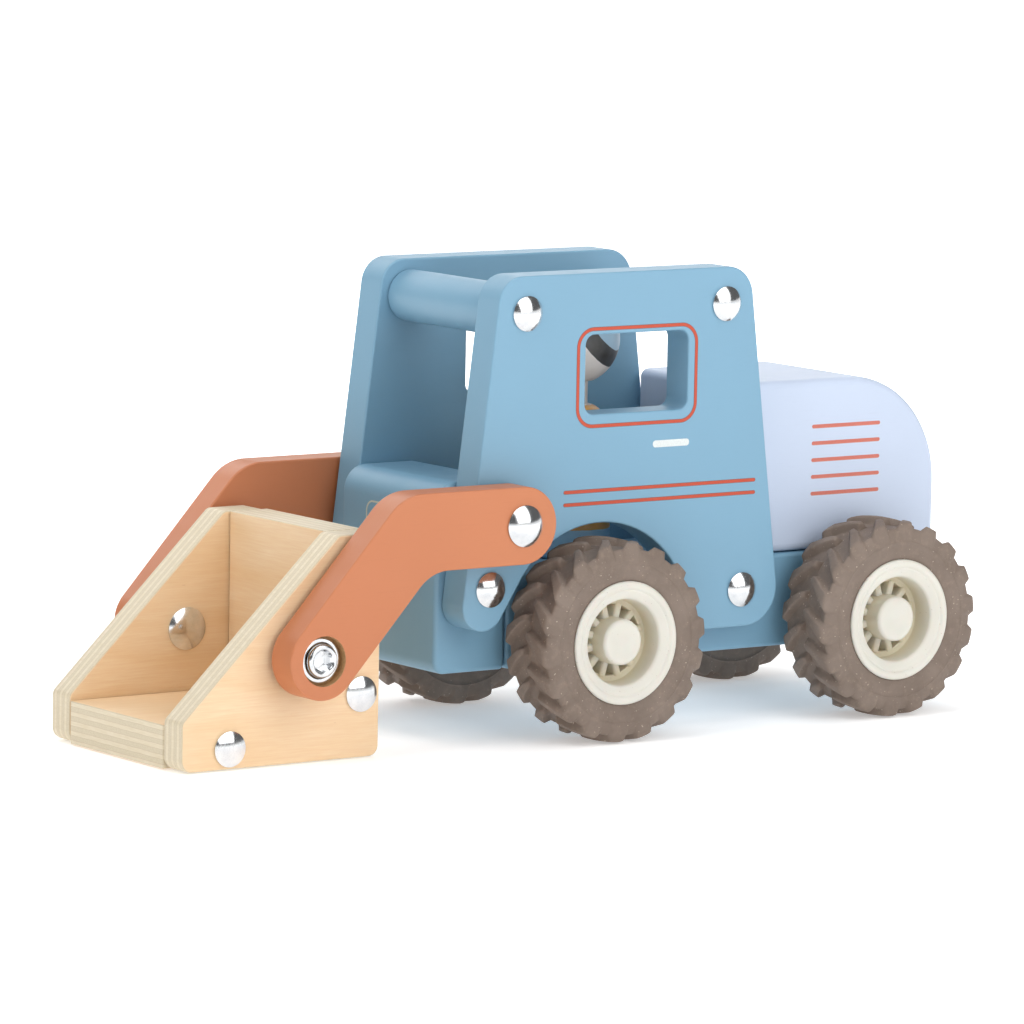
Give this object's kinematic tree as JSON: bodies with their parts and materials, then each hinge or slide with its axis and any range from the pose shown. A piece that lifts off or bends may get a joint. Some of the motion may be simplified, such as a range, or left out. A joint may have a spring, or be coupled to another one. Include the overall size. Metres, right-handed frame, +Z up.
{
  "type": "wooden toy front loader",
  "caption": "Wooden toy tractor with a lifting, tilting plywood bucket, an open cab with a peg-doll driver, and lugged rubber tyres on steel axles.",
  "frame": {"origin": "on the floor, in the middle of the footprint", "axes": "+X ahead towards the bucket, +Y to the driver's left, +Z up"},
  "size_m": [0.2694, 0.1004, 0.1328],
  "materials": {
    "blue_lacquer": "satin coloured lacquer on solid wood",
    "pale_blue_lacquer": "satin pale periwinkle lacquer on solid wood",
    "terracotta_lacquer": "satin terracotta lacquer on solid wood",
    "birch_plywood": "clear satin lacquer on birch plywood with banded edges",
    "polished_steel": "polished nickel-plated steel",
    "cream_plastic": "moulded cream plastic",
    "taupe_rubber": "matt moulded rubber, taupe brown",
    "orange_lacquer": "satin orange lacquer on a turned wooden peg",
    "skin_lacquer": "satin pale lacquer on a turned wooden ball"
  },
  "bodies": {
    "chassis": {"chassis_block": "blue_lacquer", "front_block": "blue_lacquer", "engine_hood": "pale_blue_lacquer", "cab_side_left": "blue_lacquer", "cab_side_right": "blue_lacquer", "roof_dowel_front": "blue_lacquer", "roof_dowel_rear": "blue_lacquer", "front_dowel_screw_left": "polished_steel", "front_dowel_screw_right": "polished_steel", "rear_dowel_screw_left": "polished_steel", "rear_dowel_screw_right": "polished_steel", "leg_screw_left": "polished_steel", "leg_screw_right": "polished_steel", "chassis_screw_left": "polished_steel", "chassis_screw_right": "polished_steel", "arm_washer_left": "polished_steel", "arm_washer_right": "polished_steel", "axle_washer_front_left": "polished_steel", "axle_washer_front_right": "polished_steel", "axle_washer_rear_left": "polished_steel", "axle_washer_rear_right": "polished_steel", "driver_body": "orange_lacquer", "driver_head": "skin_lacquer"},
    "loader": {"loader_arm_left": "terracotta_lacquer", "loader_arm_right": "terracotta_lacquer", "arm_pivot_rod": "polished_steel", "arm_pivot_cap_left": "polished_steel", "arm_pivot_cap_right": "polished_steel", "bucket_pivot_washer_left": "polished_steel", "bucket_pivot_washer_right": "polished_steel"},
    "bucket": {"bucket_side_left": "birch_plywood", "bucket_side_right": "birch_plywood", "bucket_back": "birch_plywood", "bucket_floor": "birch_plywood", "bucket_floor_screw_left": "polished_steel", "bucket_floor_screw_right": "polished_steel", "bucket_back_screw_left": "polished_steel", "bucket_back_screw_right": "polished_steel", "bucket_pivot_bolt_left": "polished_steel", "bucket_pivot_bolt_right": "polished_steel", "bucket_spacer_left": "polished_steel", "bucket_spacer_right": "polished_steel", "bucket_cap_nut_left": "polished_steel", "bucket_cap_nut_right": "polished_steel"},
    "front_wheels": {"axle_front": "polished_steel", "wheel_front_left": "cream_plastic", "wheel_front_right": "cream_plastic", "tyre_front_left": "taupe_rubber", "tyre_front_right": "taupe_rubber"},
    "rear_wheels": {"axle_rear": "polished_steel", "wheel_rear_left": "cream_plastic", "wheel_rear_right": "cream_plastic", "tyre_rear_left": "taupe_rubber", "tyre_rear_right": "taupe_rubber"}
  },
  "joints": [
    {"name": "loader_lift", "type": "hinge", "parent": "chassis", "child": "loader", "pos_m": [0.0296, 0, 0.0638], "axis": [0, -1, 0], "range_deg": [0, 60]},
    {"name": "bucket_tilt", "type": "hinge", "parent": "loader", "child": "bucket", "pos_m": [0.0962, 0, 0.0302], "axis": [0, -1, 0], "range_deg": [-70, 45]},
    {"name": "front_axle_turn", "type": "hinge", "parent": "chassis", "child": "front_wheels", "pos_m": [-0.00375, 0, 0.0288], "axis": [0, 1, 0], "continuous": true},
    {"name": "rear_axle_turn", "type": "hinge", "parent": "chassis", "child": "rear_wheels", "pos_m": [-0.10215, 0, 0.0288], "axis": [0, 1, 0], "continuous": true}
  ]
}
